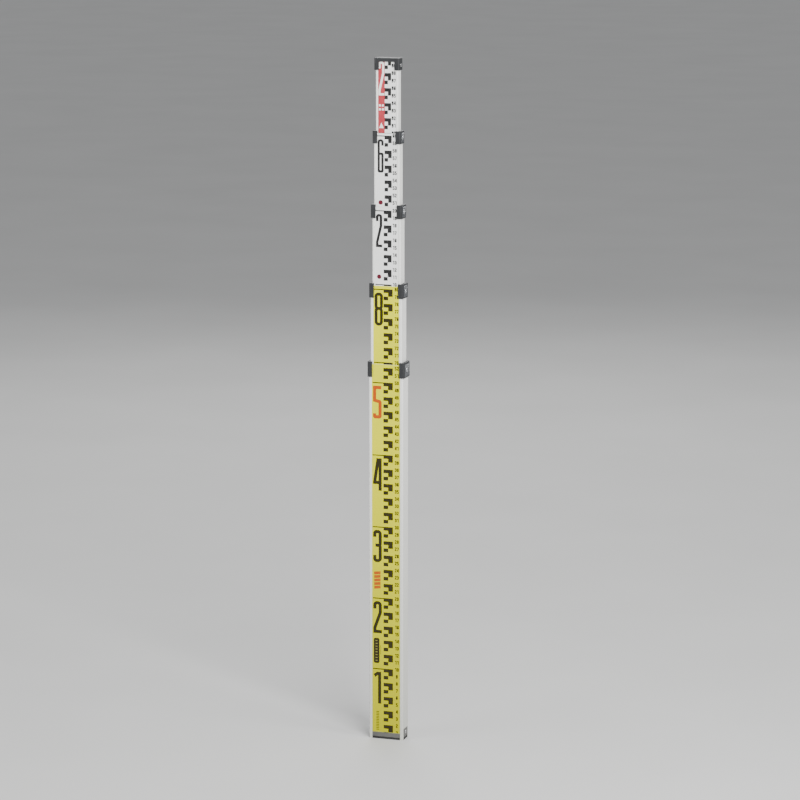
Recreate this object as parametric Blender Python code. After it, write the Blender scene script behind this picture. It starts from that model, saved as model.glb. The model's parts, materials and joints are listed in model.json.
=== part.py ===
"""A telescopic levelling staff: five nested aluminium sections, partly drawn out.

Run with: blender --background --python part.py

+Z runs up the staff, the printed face looks along -Y, and the lock levers are on the +X side.
The origin is at the centre of the sole, on the ground. Units are metres.
"""

import math

import bpy
import bmesh
from mathutils import Matrix, Vector

MM = 0.001

# Sections, from the lowest (index 0) to the highest (index 4)
SECTIONS = 5
SECTION_WIDTH = 48.5 * MM
SECTION_DEPTH = 24.0 * MM
WIDTH_STEP = 4.25 * MM
DEPTH_STEP = 2.8 * MM

# Height of each section's top as it stands partly drawn out
TOPS = (528.0 * MM, 635.0 * MM, 741.5 * MM, 840.5 * MM, 937.6 * MM)
# How far each section's printed reading is above its true height here: the draw still to come
READING_LEAD = (0.0, 172.5 * MM, 466.1 * MM, 765.7 * MM, 1062.4 * MM)

# Tube extrusion
SIDE_WALL = 1.2 * MM
FACE_WALL = 1.1 * MM
RIM = 3.85 * MM
RIM_STEP = 0.35 * MM
RECESS = 0.35 * MM
CORNER = 1.5 * MM
CORNER_STEPS = 4

# Fits
GAP = 0.3 * MM
STOP_GAP = 0.5 * MM
PIN_GAP = 0.1 * MM
OVERCUT = 1.0 * MM

# End collars
COLLAR_HEIGHT = 20.9 * MM
COLLAR_HEIGHT_STEP = 1.3 * MM
COLLAR_SIDE = 2.0 * MM
COLLAR_FACE = 1.4 * MM
COLLAR_FLANGE = 3.0 * MM
COLLAR_CORNER = 2.4 * MM
EAR = 5.0 * MM
COLLAR_EDGE = 0.45 * MM

# Lock lever, in its pocket on the collar's +X side
POCKET_INSET = 3.0 * MM
POCKET_FLOOR = 1.2 * MM
POCKET_ROOF = 1.5 * MM
CHEEK = 1.4 * MM
CHEEK_DEPTH = 1.5 * MM
SHELF_DEPTH = 0.6 * MM
SHELF_START = 2.4 * MM
LEVER_PLATE = 1.1 * MM
LEVER_END_GAP = 0.4 * MM
LEVER_SIDE_GAP = 0.3 * MM
LEVER_PROUD = 2.3 * MM
PIVOT_INSET = 0.2 * MM
LUG_HALF_WIDTH = 3.5 * MM
LUG_HALF_HEIGHT = 1.5 * MM
LUG_REACH = 0.9 * MM
PIN_RADIUS = 0.6 * MM
PIN_BITE = 1.0 * MM
STUD_RADIUS = 1.4 * MM
STUD_PLACE = 0.6
BUTTON_RADIUS = 2.4 * MM
BUTTON_TOP_RADIUS = 1.7 * MM
BUTTON_HEIGHT = 0.6 * MM
LEVER_EDGE = 0.25 * MM

# Coil spring under the lever's thumb end
SPRING_RADIUS = 1.4 * MM
SPRING_WIRE = 0.15 * MM
SPRING_TURNS = 2.5
SPRING_STEPS = 14
SPRING_SIDES = 6
SPRING_GAP = 0.12 * MM

# Rivets through the collar's back
RIVET_RADIUS = 1.2 * MM
RIVET_HEAD_RADIUS = 2.3 * MM
RIVET_HEAD = 0.7 * MM
RIVET_PLACE = 0.55

# Guide shoes on the feet of the inner sections
SHOE_HEIGHT = 18.0 * MM
SHOE_TONGUE = 10.0 * MM
SHOE_TONGUE_HALF = 3.5 * MM
SHOE_PROUD = 0.6 * MM

# Foot of the lowest section
FOOT_CLEAR = 16.0 * MM
SOLE = 3.0 * MM
PLUG_FACE_LIP = 9.0 * MM
PLUG_HEIGHT = 15.0 * MM
FACE_LIP_INSET = 4.2 * MM
SIDE_LIP_INSET = 3.0 * MM
SCREW_RADIUS = 1.2 * MM
SCREW_LENGTH = 8.0 * MM
SCREW_HEAD_RADIUS = 2.5 * MM
SCREW_HEAD = 0.9 * MM
BASE_SCREW_HEIGHT = 10.0 * MM

# Top cap
CAP_HEIGHT = 16.3 * MM
CAP_PLATE = 3.0 * MM
CAP_BAND = 5.0 * MM
CAP_CORE = 9.0 * MM
CAP_SCREW_DROP = 9.5 * MM
CAP_SCREW_LENGTH = 6.0 * MM

ROUND_STEPS = 20
SIDE_NAMES = ("left", "right")


# ---------------------------------------------------------------- worked-out sizes


def half_width(index):
    return (SECTION_WIDTH - index * WIDTH_STEP) / 2


def half_depth(index):
    return (SECTION_DEPTH - index * DEPTH_STEP) / 2


def head_height(index):
    """Height of the collar, or of the cap on the last section."""
    if index == SECTIONS - 1:
        return CAP_HEIGHT
    return COLLAR_HEIGHT - index * COLLAR_HEIGHT_STEP


def drop(index):
    """How far a section can slide down from here before its head rests on the one below."""
    return TOPS[index] - TOPS[index - 1] - head_height(index) - STOP_GAP


def foot(index):
    """Height of a section's lower end as the staff stands here."""
    if index == 0:
        return 0.0
    return FOOT_CLEAR + sum(drop(below) for below in range(1, index + 1))


def rise(index):
    """How far a section can be drawn up from here before its stud locks."""
    return READING_LEAD[index] - READING_LEAD[index - 1]


def local_top(index):
    return TOPS[index] - foot(index)


def pocket_range(index):
    """Lower and upper end of the lever's pocket, in the section's own heights."""
    top = local_top(index)
    return top - head_height(index) + POCKET_FLOOR, top - POCKET_ROOF


def pocket_half_width(index):
    return half_depth(index) - POCKET_INSET


def pin_half_length(index):
    """Half the pivot pin: its ends sit in the pocket's cheeks."""
    return pocket_half_width(index) + PIN_BITE


def pivot_height(index):
    low, high = pocket_range(index)
    return (low + high) / 2


def lever_half_height(index):
    low, high = pocket_range(index)
    return (high - low) / 2 - LEVER_END_GAP


def stud_drop(index):
    return STUD_PLACE * lever_half_height(index)


# ---------------------------------------------------------------- shapes


def rounded_outline(half_x, half_y, radius, steps=CORNER_STEPS):
    """A rectangle with round corners, anticlockwise."""
    corners = ((1, 1, 0), (-1, 1, 90), (-1, -1, 180), (1, -1, 270))
    points = []
    for side_x, side_y, start in corners:
        centre = Vector((side_x * (half_x - radius), side_y * (half_y - radius)))
        for step in range(steps + 1):
            angle = math.radians(start + 90 * step / steps)
            points.append(centre + radius * Vector((math.cos(angle), math.sin(angle))))
    return points


def tube_outline(index):
    """The extrusion's outside: round corners, and a shallow recess between the rims."""
    half_x = half_width(index)
    half_y = half_depth(index)
    edge = half_x - RIM + index * RIM_STEP
    shoulder = edge - RECESS
    floor = half_y - RECESS
    corners = rounded_outline(half_x, half_y, CORNER)
    half = len(corners) // 2
    back = [Vector((edge, half_y)), Vector((shoulder, floor)), Vector((-shoulder, floor)), Vector((-edge, half_y))]
    front = [-point for point in back]
    first = CORNER_STEPS + 1
    return corners[:first] + back + corners[first:half + first] + front + corners[half + first:]


def add_prism(mesh, outline, start, end, axis="Z"):
    """Extrude a flat outline. Along Y the outline's own pair is (x, z)."""
    if axis == "Z":
        place = [Vector((point[0], point[1], start)) for point in outline]
        travel = Vector((0, 0, end - start))
    else:
        place = [Vector((point[0], start, point[1])) for point in outline]
        travel = Vector((0, end - start, 0))
    face = mesh.faces.new([mesh.verts.new(point) for point in place])
    swept = bmesh.ops.extrude_face_region(mesh, geom=[face], use_keep_orig=True)
    moved = [item for item in swept["geom"] if isinstance(item, bmesh.types.BMVert)]
    bmesh.ops.translate(mesh, verts=moved, vec=travel)
    bmesh.ops.recalc_face_normals(mesh, faces=mesh.faces[:])


def add_box(mesh, low, high):
    size = Vector(high) - Vector(low)
    centre = (Vector(high) + Vector(low)) / 2
    scale = Matrix.Diagonal((size.x, size.y, size.z, 1))
    bmesh.ops.create_cube(mesh, size=1.0, matrix=Matrix.Translation(centre) @ scale)


def add_round(mesh, start, end, radius, end_radius=None, steps=ROUND_STEPS):
    """A cylinder or cone from one point to another."""
    start = Vector(start)
    end = Vector(end)
    along = end - start
    turn = along.to_track_quat("Z", "Y").to_matrix().to_4x4()
    bmesh.ops.create_cone(
        mesh,
        cap_ends=True,
        segments=steps,
        radius1=radius,
        radius2=radius if end_radius is None else end_radius,
        depth=along.length,
        matrix=Matrix.Translation((start + end) / 2) @ turn,
    )


# ---------------------------------------------------------------- objects


def material(name, colour, roughness, metallic=0.0):
    made = bpy.data.materials.new(name)
    made.use_nodes = True
    shader = made.node_tree.nodes["Principled BSDF"]
    shader.inputs["Base Color"].default_value = (*colour, 1.0)
    shader.inputs["Roughness"].default_value = roughness
    shader.inputs["Metallic"].default_value = metallic
    return made


def make_object(name, build, parent, place=(0, 0, 0), finish=None):
    """An object whose mesh is filled in by build(mesh)."""
    mesh = bmesh.new()
    build(mesh)
    data = bpy.data.meshes.new(name)
    mesh.to_mesh(data)
    mesh.free()
    made = bpy.data.objects.new(name, data)
    bpy.context.scene.collection.objects.link(made)
    made.parent = parent
    made.location = place
    if finish:
        data.materials.append(finish)
    return made


def combine(target, name, build, operation="DIFFERENCE"):
    """Cut a helper shape out of the target, or join it on."""
    helper = make_object(name, build, target.parent, target.location)
    helper.hide_render = True
    helper.display_type = "WIRE"
    step = target.modifiers.new(name, "BOOLEAN")
    step.operation = operation
    step.solver = "EXACT"
    step.object = helper


def soften(target, width, segments=2):
    edge = target.modifiers.new("edge", "BEVEL")
    edge.width = width
    edge.segments = segments
    edge.limit_method = "ANGLE"
    edge.angle_limit = math.radians(40)
    edge.use_clamp_overlap = True


def shade_round(target):
    target.data.shade_smooth()
    target.data.set_sharp_from_angle(angle=math.radians(35))


# ---------------------------------------------------------------- sections


def make_tube(index, parent, finish):
    half_x = half_width(index)
    half_y = half_depth(index)
    top = local_top(index) - COLLAR_FLANGE - GAP
    if index == SECTIONS - 1:
        top = local_top(index) - CAP_PLATE - GAP
    start = 0.0 if index == 0 else SHOE_HEIGHT + GAP

    def body(mesh):
        add_prism(mesh, tube_outline(index), start, top)

    def hollow(mesh):
        outline = rounded_outline(half_x - SIDE_WALL, half_y - FACE_WALL, CORNER / 2)
        add_prism(mesh, outline, start - OVERCUT, top + OVERCUT)

    def openings(mesh):
        if index == 0:
            cut_foot(mesh, half_x, half_y)
        else:
            cut_shoe_notches(mesh, half_x, start)
            cut_lock_hole(mesh, index)
        if index == SECTIONS - 1:
            cut_cap_screws(mesh, index)
        else:
            cut_lever_slot(mesh, index, top)
            cut_rivets(mesh, index)

    tube = make_object(f"tube_{index + 1}", body, parent, finish=finish)
    combine(tube, f"tube_hollow_{index + 1}", hollow)
    combine(tube, f"tube_openings_{index + 1}", openings)
    shade_round(tube)


def cut_foot(mesh, half_x, half_y):
    """Notches between the rims and in the side walls, which the base plug fills."""
    face_half = half_x - FACE_LIP_INSET
    side_half = half_y - SIDE_LIP_INSET
    inner_x = half_x - 2 * SIDE_WALL
    inner_y = half_y - 2 * FACE_WALL
    for side in (-1, 1):
        low, high = sorted((side * inner_y, side * (half_y + OVERCUT)))
        add_box(mesh, (-face_half, low, -OVERCUT), (face_half, high, PLUG_FACE_LIP + GAP))
        low, high = sorted((side * inner_x, side * (half_x + OVERCUT)))
        add_box(mesh, (low, -side_half, -OVERCUT), (high, side_half, PLUG_HEIGHT + GAP))


def cut_shoe_notches(mesh, half_x, start):
    """Notches in the side walls for the guide shoe's tongues."""
    half_y = SHOE_TONGUE_HALF + GAP
    high_z = SHOE_HEIGHT + SHOE_TONGUE + GAP
    for side in (-1, 1):
        low, high = sorted((side * (half_x - 2 * SIDE_WALL), side * (half_x + OVERCUT)))
        add_box(mesh, (low, -half_y, start - OVERCUT), (high, half_y, high_z))


def cut_lock_hole(mesh, index):
    """The hole that the stud of the collar below drops into when the section is fully out."""
    below = index - 1
    stud = foot(below) + pivot_height(below) - stud_drop(below)
    height = stud - rise(index) - foot(index)
    half_x = half_width(index)
    start = (half_x - 2 * SIDE_WALL, 0, height)
    end = (half_x + OVERCUT, 0, height)
    add_round(mesh, start, end, STUD_RADIUS + GAP)


def cut_lever_slot(mesh, index, top):
    """The slot behind the lever, open at the top so that the collar's cheeks slide in."""
    half_x = half_width(index)
    half_y = pocket_half_width(index) + CHEEK + GAP
    low = pocket_range(index)[0] - GAP
    add_box(mesh, (half_x - 2 * SIDE_WALL, -half_y, low), (half_x + OVERCUT, half_y, top + OVERCUT))


def rivet_places(index):
    height = local_top(index) - head_height(index) / 2
    offset = RIVET_PLACE * half_width(index)
    return [(-offset, height), (offset, height)]


def cut_rivets(mesh, index):
    back = half_depth(index)
    for across, height in rivet_places(index):
        start = (across, back - 2 * FACE_WALL, height)
        end = (across, back + COLLAR_FACE + OVERCUT, height)
        add_round(mesh, start, end, RIVET_RADIUS + GAP)


def cut_cap_screws(mesh, index):
    half_x = half_width(index)
    height = local_top(index) - CAP_SCREW_DROP
    for side in (-1, 1):
        start = (side * (half_x - 2 * SIDE_WALL), 0, height)
        end = (side * (half_x + OVERCUT), 0, height)
        add_round(mesh, start, end, SCREW_RADIUS + GAP)


def make_guide_shoe(index, parent, finish):
    """A plastic bush on the section's foot, with a tongue up each side wall."""
    half_x = half_width(index)
    half_y = half_depth(index)

    def ring(mesh):
        add_prism(mesh, rounded_outline(half_x + SHOE_PROUD, half_y, CORNER), 0.0, SHOE_HEIGHT)

    def tongues(mesh):
        for side in (-1, 1):
            low, high = sorted((side * (half_x - SIDE_WALL), side * (half_x + SHOE_PROUD)))
            top = SHOE_HEIGHT + SHOE_TONGUE
            add_box(mesh, (low, -SHOE_TONGUE_HALF, SHOE_HEIGHT - 2 * MM), (high, SHOE_TONGUE_HALF, top))

    def hollow(mesh):
        outline = rounded_outline(half_x - SIDE_WALL, half_y - FACE_WALL, CORNER / 2)
        add_prism(mesh, outline, -OVERCUT, SHOE_HEIGHT + SHOE_TONGUE + OVERCUT)

    shoe = make_object(f"guide_shoe_{index + 1}", ring, parent, finish=finish)
    combine(shoe, f"shoe_tongues_{index + 1}", tongues, "UNION")
    combine(shoe, f"shoe_hollow_{index + 1}", hollow)
    shade_round(shoe)


# ---------------------------------------------------------------- collars and locks


def make_collar(index, parent, finish):
    half_x = half_width(index)
    half_y = half_depth(index)
    top = local_top(index)
    low = top - head_height(index)
    pocket_low, pocket_high = pocket_range(index)
    pivot = pivot_height(index)
    pocket_half = pocket_half_width(index)

    def body(mesh):
        outline = rounded_outline(half_x + COLLAR_SIDE, half_y + COLLAR_FACE, COLLAR_CORNER)
        add_prism(mesh, outline, low, top)

    def seat(mesh):
        outline = rounded_outline(half_x + GAP, half_y + GAP, CORNER + GAP)
        add_prism(mesh, outline, low - OVERCUT, top - COLLAR_FLANGE)

    def throat(mesh):
        next_x = half_width(index + 1) + GAP
        next_y = half_depth(index + 1) + GAP
        add_prism(mesh, rounded_outline(next_x, next_y, CORNER / 2), low - OVERCUT, top + OVERCUT)

    def window(mesh):
        reach = half_x - EAR
        front = -half_y - COLLAR_FACE - OVERCUT
        add_box(mesh, (-reach, front, low - OVERCUT), (reach, -half_y + 2 * FACE_WALL, top + OVERCUT))

    def cheek_block(mesh):
        reach = pocket_half + CHEEK
        low_corner = (half_x - CHEEK_DEPTH, -reach, pocket_low + GAP)
        add_box(mesh, low_corner, (half_x + COLLAR_SIDE / 2, reach, pocket_high - GAP))

    def pocket(mesh):
        outer = half_x + COLLAR_SIDE + OVERCUT
        shelf = half_x - SHELF_DEPTH
        inner = half_x - CHEEK_DEPTH - OVERCUT
        shelf_low = pivot + SHELF_START
        outline = [
            (outer, pocket_low),
            (outer, pocket_high),
            (shelf, pocket_high),
            (shelf, shelf_low),
            (inner, shelf_low),
            (inner, pocket_low),
        ]
        add_prism(mesh, outline, -pocket_half, pocket_half, "Y")

    def holes(mesh):
        reach = pin_half_length(index) + GAP
        across = half_x + PIVOT_INSET
        add_round(mesh, (across, -reach, pivot), (across, reach, pivot), PIN_RADIUS + PIN_GAP)
        cut_rivets(mesh, index)

    collar = make_object(f"collar_{index + 1}", body, parent, finish=finish)
    combine(collar, f"collar_seat_{index + 1}", seat)
    combine(collar, f"collar_throat_{index + 1}", throat)
    combine(collar, f"collar_window_{index + 1}", window)
    soften(collar, COLLAR_EDGE)
    combine(collar, f"collar_cheeks_{index + 1}", cheek_block, "UNION")
    combine(collar, f"collar_pocket_{index + 1}", pocket)
    combine(collar, f"collar_holes_{index + 1}", holes)
    shade_round(collar)


def make_lock(index, parent, steel, spring_steel):
    """The rocking lever with its stud, the pin it turns on, and the spring under its thumb end."""
    number = index + 1
    half_x = half_width(index)
    half_y = pocket_half_width(index) - LEVER_SIDE_GAP
    half_z = lever_half_height(index)
    pin_half = pin_half_length(index)
    pivot = (half_x + PIVOT_INSET, 0, pivot_height(index))
    face = LEVER_PROUD - PIVOT_INSET
    plate_back = face - LEVER_PLATE
    stud_tip = half_width(index + 1) + GAP - half_x - PIVOT_INSET
    stud_z = -stud_drop(index)
    spring_z = stud_drop(index)
    shelf = -SHELF_DEPTH - PIVOT_INSET

    def plate(mesh):
        add_box(mesh, (plate_back, -half_y, -half_z), (face, half_y, half_z))

    def inner_parts(mesh):
        middle = (face + plate_back) / 2
        low = (-LUG_REACH, -LUG_HALF_WIDTH, -LUG_HALF_HEIGHT)
        add_box(mesh, low, (middle, LUG_HALF_WIDTH, LUG_HALF_HEIGHT))
        add_round(mesh, (middle, 0, stud_z), (stud_tip, 0, stud_z), STUD_RADIUS)

    def button(mesh):
        start = (face - LEVER_PLATE / 2, 0, 0)
        add_round(mesh, start, (face + BUTTON_HEIGHT, 0, 0), BUTTON_RADIUS, BUTTON_TOP_RADIUS)

    def pin_hole(mesh):
        reach = LUG_HALF_WIDTH + OVERCUT
        add_round(mesh, (0, -reach, 0), (0, reach, 0), PIN_RADIUS + PIN_GAP)

    def pin(mesh):
        add_round(mesh, (0, -pin_half, 0), (0, pin_half, 0), PIN_RADIUS)

    def coil(mesh):
        inner = shelf + SPRING_GAP + SPRING_WIRE
        outer = plate_back - SPRING_GAP - SPRING_WIRE
        add_coil(mesh, inner, outer, spring_z)

    lever = make_object(f"lock_lever_{number}", plate, parent, pivot, steel)
    soften(lever, LEVER_EDGE)
    combine(lever, f"lever_inner_{number}", inner_parts, "UNION")
    combine(lever, f"lever_button_{number}", button, "UNION")
    combine(lever, f"lever_pin_hole_{number}", pin_hole)
    shade_round(lever)
    shade_round(make_object(f"lever_pin_{number}", pin, parent, pivot, spring_steel))
    shade_round(make_object(f"lever_spring_{number}", coil, parent, pivot, spring_steel))


def add_coil(mesh, start_x, end_x, centre_z):
    """Round wire wound about a line along X."""
    count = int(SPRING_TURNS * SPRING_STEPS)
    rings = []
    for step in range(count + 1):
        share = step / count
        angle = 2 * math.pi * SPRING_TURNS * share
        outward = Vector((0, math.cos(angle), math.sin(angle)))
        centre = Vector((start_x + share * (end_x - start_x), 0, centre_z)) + SPRING_RADIUS * outward
        ring = []
        for side in range(SPRING_SIDES):
            turn = 2 * math.pi * side / SPRING_SIDES
            offset = SPRING_WIRE * (math.cos(turn) * outward + math.sin(turn) * Vector((1, 0, 0)))
            ring.append(mesh.verts.new(centre + offset))
        rings.append(ring)
    for first, second in zip(rings, rings[1:]):
        for side in range(SPRING_SIDES):
            after = (side + 1) % SPRING_SIDES
            mesh.faces.new((first[side], first[after], second[after], second[side]))
    mesh.faces.new(rings[0])
    mesh.faces.new(rings[-1])
    bmesh.ops.recalc_face_normals(mesh, faces=mesh.faces[:])


def make_rivets(index, parent, finish):
    """One rivet each side of the collar's back; each turns its head outwards, along +Y."""
    back = half_depth(index)

    def shank(mesh):
        start = (0, back - FACE_WALL + GAP / 2, 0)
        add_round(mesh, start, (0, back + COLLAR_FACE + RIVET_HEAD / 2, 0), RIVET_RADIUS)

    def head(mesh):
        start = (0, back + COLLAR_FACE + GAP / 2, 0)
        end = (0, back + COLLAR_FACE + RIVET_HEAD, 0)
        add_round(mesh, start, end, RIVET_HEAD_RADIUS, 0.6 * RIVET_HEAD_RADIUS)

    for side, (across, height) in zip(SIDE_NAMES, rivet_places(index)):
        name = f"collar_rivet_{index + 1}_{side}"
        rivet = make_object(name, shank, parent, (across, 0, height), finish)
        combine(rivet, f"{name}_head", head, "UNION")
        shade_round(rivet)


# ---------------------------------------------------------------- foot and cap


def cross_outline(half_x, half_y):
    """The plug's outline: full width between the rims' notches, stepped in at the corners."""
    face_half = half_x - FACE_LIP_INSET - GAP
    side_half = half_y - SIDE_LIP_INSET - GAP
    face_y = half_y - RECESS
    inner_x = half_x - SIDE_WALL - GAP
    inner_y = half_y - FACE_WALL - GAP
    quarter = [
        (half_x, side_half),
        (inner_x, side_half),
        (inner_x, inner_y),
        (face_half, inner_y),
        (face_half, face_y),
    ]
    points = list(quarter)
    points += [(-x, y) for x, y in reversed(quarter)]
    points += [(-x, -y) for x, y in quarter]
    points += [(x, -y) for x, y in reversed(quarter)]
    return points


def make_foot(parent, rubber, plastic, steel):
    half_x = half_width(0)
    half_y = half_depth(0)
    side_half = half_y - SIDE_LIP_INSET - GAP
    plug_low = SOLE + GAP

    def sole(mesh):
        add_prism(mesh, cross_outline(half_x, half_y), 0.0, SOLE)

    def plug(mesh):
        add_prism(mesh, cross_outline(half_x, half_y), plug_low, PLUG_FACE_LIP)

    def upper_plug(mesh):
        inner_x = half_x - SIDE_WALL - GAP
        inner_y = half_y - FACE_WALL - GAP
        outline = [
            (half_x, -side_half),
            (half_x, side_half),
            (inner_x, side_half),
            (inner_x, inner_y),
            (-inner_x, inner_y),
            (-inner_x, side_half),
            (-half_x, side_half),
            (-half_x, -side_half),
            (-inner_x, -side_half),
            (-inner_x, -inner_y),
            (inner_x, -inner_y),
            (inner_x, -side_half),
        ]
        add_prism(mesh, outline, PLUG_FACE_LIP - 2 * MM, PLUG_HEIGHT)

    def screw_holes(mesh):
        for side in (-1, 1):
            start = (side * (half_x - SCREW_LENGTH - GAP), 0, BASE_SCREW_HEIGHT)
            add_round(mesh, start, (side * (half_x + OVERCUT), 0, BASE_SCREW_HEIGHT), SCREW_RADIUS + GAP)

    make_object("base_sole", sole, parent, finish=rubber)
    base = make_object("base_plug", plug, parent, finish=plastic)
    combine(base, "plug_upper", upper_plug, "UNION")
    combine(base, "plug_screw_holes", screw_holes)
    make_screws("base_screw", parent, half_x, BASE_SCREW_HEIGHT, SCREW_LENGTH, steel)


def make_screws(name, parent, surface, height, length, finish):
    """A pan-head screw through each side wall, facing out."""
    for side_name, side in zip(SIDE_NAMES, (-1, 1)):

        def shank(mesh):
            start = (side * (surface - length), 0, 0)
            add_round(mesh, start, (side * (surface + SCREW_HEAD / 2), 0, 0), SCREW_RADIUS)

        def head(mesh):
            start = (side * (surface + GAP / 2), 0, 0)
            end = (side * (surface + SCREW_HEAD), 0, 0)
            add_round(mesh, start, end, SCREW_HEAD_RADIUS, 0.7 * SCREW_HEAD_RADIUS)

        screw = make_object(f"{name}_{side_name}", shank, parent, (0, 0, height), finish)
        combine(screw, f"{name}_{side_name}_head", head, "UNION")
        shade_round(screw)


def make_cap(parent, plastic, steel):
    index = SECTIONS - 1
    half_x = half_width(index)
    half_y = half_depth(index)
    top = local_top(index)
    low = top - CAP_HEIGHT
    surface = half_x + COLLAR_SIDE

    def body(mesh):
        outline = rounded_outline(surface, half_y + COLLAR_FACE, COLLAR_CORNER)
        add_prism(mesh, outline, low, top)

    def seat(mesh):
        outline = rounded_outline(half_x + GAP, half_y + GAP, CORNER + GAP)
        add_prism(mesh, outline, low - OVERCUT, top - CAP_PLATE)

    def window(mesh):
        reach = half_x - EAR
        front = -half_y - COLLAR_FACE - OVERCUT
        add_box(mesh, (-reach, front, low - OVERCUT), (reach, -half_y + FACE_WALL, top - CAP_BAND))

    def core(mesh):
        outline = rounded_outline(half_x - SIDE_WALL - GAP, half_y - FACE_WALL - GAP, CORNER / 2)
        add_prism(mesh, outline, top - CAP_PLATE - CAP_CORE, top - CAP_PLATE / 2)

    def screw_holes(mesh):
        height = top - CAP_SCREW_DROP
        for side in (-1, 1):
            start = (side * (surface - CAP_SCREW_LENGTH - GAP), 0, height)
            add_round(mesh, start, (side * (surface + OVERCUT), 0, height), SCREW_RADIUS + GAP)

    cap = make_object("top_cap", body, parent, finish=plastic)
    combine(cap, "cap_seat", seat)
    combine(cap, "cap_window", window)
    soften(cap, COLLAR_EDGE)
    combine(cap, "cap_core", core, "UNION")
    combine(cap, "cap_screw_holes", screw_holes)
    shade_round(cap)
    make_screws("cap_screw", parent, surface, top - CAP_SCREW_DROP, CAP_SCREW_LENGTH, steel)


# ---------------------------------------------------------------- assembly


def main():
    for old in list(bpy.data.objects):
        bpy.data.objects.remove(old, do_unlink=True)

    yellow = material("yellow_print", (0.66, 0.62, 0.10), 0.45)
    white = material("white_print", (0.78, 0.78, 0.74), 0.45)
    plastic = material("dark_plastic", (0.06, 0.06, 0.055), 0.5)
    rubber = material("black_rubber", (0.02, 0.02, 0.02), 0.8)
    steel = material("bright_steel", (0.62, 0.62, 0.62), 0.3, 1.0)
    spring_steel = material("spring_steel", (0.45, 0.45, 0.45), 0.35, 1.0)

    lower = None
    for index in range(SECTIONS):
        frame = bpy.data.objects.new(f"section_{index + 1}_frame", None)
        bpy.context.scene.collection.objects.link(frame)
        frame.parent = lower
        frame.location = (0, 0, foot(index) - (foot(index - 1) if lower else 0.0))
        make_tube(index, frame, yellow if index < 2 else white)
        if index == 0:
            make_foot(frame, rubber, plastic, steel)
        else:
            make_guide_shoe(index, frame, plastic)
        if index == SECTIONS - 1:
            make_cap(frame, plastic, steel)
        else:
            make_collar(index, frame, plastic)
            make_lock(index, frame, steel, spring_steel)
            make_rivets(index, frame, steel)
        lower = frame


main()
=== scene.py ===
"""Looks for the telescopic levelling staff: print, finishes, fasteners, floor, light and camera.

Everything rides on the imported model. Places come from the CAD nodes' boxes and from the joints'
ranges, because a printed reading is the height that a mark has when the staff is fully drawn out.
"""

import json
import math

import bmesh
import bpy
from mathutils import Matrix, Vector
from mathutils.geometry import delaunay_2d_cdt


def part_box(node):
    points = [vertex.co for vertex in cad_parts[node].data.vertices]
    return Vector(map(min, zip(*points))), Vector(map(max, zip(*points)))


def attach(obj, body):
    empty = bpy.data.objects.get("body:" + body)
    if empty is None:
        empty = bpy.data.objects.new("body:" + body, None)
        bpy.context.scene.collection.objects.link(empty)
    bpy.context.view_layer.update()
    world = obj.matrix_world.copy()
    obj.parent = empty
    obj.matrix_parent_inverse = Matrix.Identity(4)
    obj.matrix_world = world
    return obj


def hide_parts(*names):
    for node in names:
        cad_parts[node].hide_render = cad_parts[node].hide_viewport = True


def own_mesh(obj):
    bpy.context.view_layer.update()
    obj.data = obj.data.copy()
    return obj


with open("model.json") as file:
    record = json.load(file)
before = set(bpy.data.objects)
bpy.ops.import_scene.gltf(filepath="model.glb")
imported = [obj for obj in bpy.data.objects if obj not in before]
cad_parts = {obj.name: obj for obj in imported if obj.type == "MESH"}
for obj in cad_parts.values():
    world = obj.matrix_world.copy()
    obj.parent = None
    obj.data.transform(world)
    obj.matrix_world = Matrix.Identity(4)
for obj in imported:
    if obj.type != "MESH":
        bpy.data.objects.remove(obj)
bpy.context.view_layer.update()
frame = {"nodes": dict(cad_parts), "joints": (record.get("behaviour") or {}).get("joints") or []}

MM = 0.001
SECTIONS = (1, 2, 3, 4, 5)
COLLARED = (1, 2, 3, 4)
YELLOW_SECTIONS = (1, 2)

# Camera: where it stands round the staff, and where it looks; the lens and sensor are in mm
CAMERA_AZIMUTH = math.radians(18.0)
CAMERA_DISTANCE = 4.272
CAMERA_SIDESTEP = 15.5 * MM
CAMERA_HEIGHT = 1.2705
CAMERA_PITCH = math.radians(10.56)
CAMERA_LENS = 144.1
SENSOR = 36.0

# Printed face, in the shallow recess between the tube's rims; a tuple of sizes has one for each section
RECESS_SHOULDER = (4.2 * MM, 3.85 * MM, 3.5 * MM, 3.15 * MM, 2.8 * MM)
RECESS_DEPTH = 0.35 * MM
FILM_MARGIN = 0.12 * MM
FILM_THICKNESS = 0.12 * MM
INK_SUNK = 0.01 * MM
INK_PROUD = 0.025 * MM
INK_STEP = 0.02 * MM
PRINT_START = 9.5 * MM
PRINT_TOP_GAP = 0.2 * MM
PRINT_HIDDEN = 4.0 * MM

# The block pattern: one period every 20 mm, in steps of 5 mm
BLOCK_STEP = 5.0 * MM
BLOCK_PERIOD = 4 * BLOCK_STEP
BLOCK_LEFT = (-3.5 * MM, -3.6 * MM, -3.8 * MM, -3.0 * MM, -3.1 * MM)
BLOCK_COLUMN = (6.7 * MM, 6.45 * MM, 5.6 * MM, 5.1 * MM, 4.5 * MM)

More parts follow.
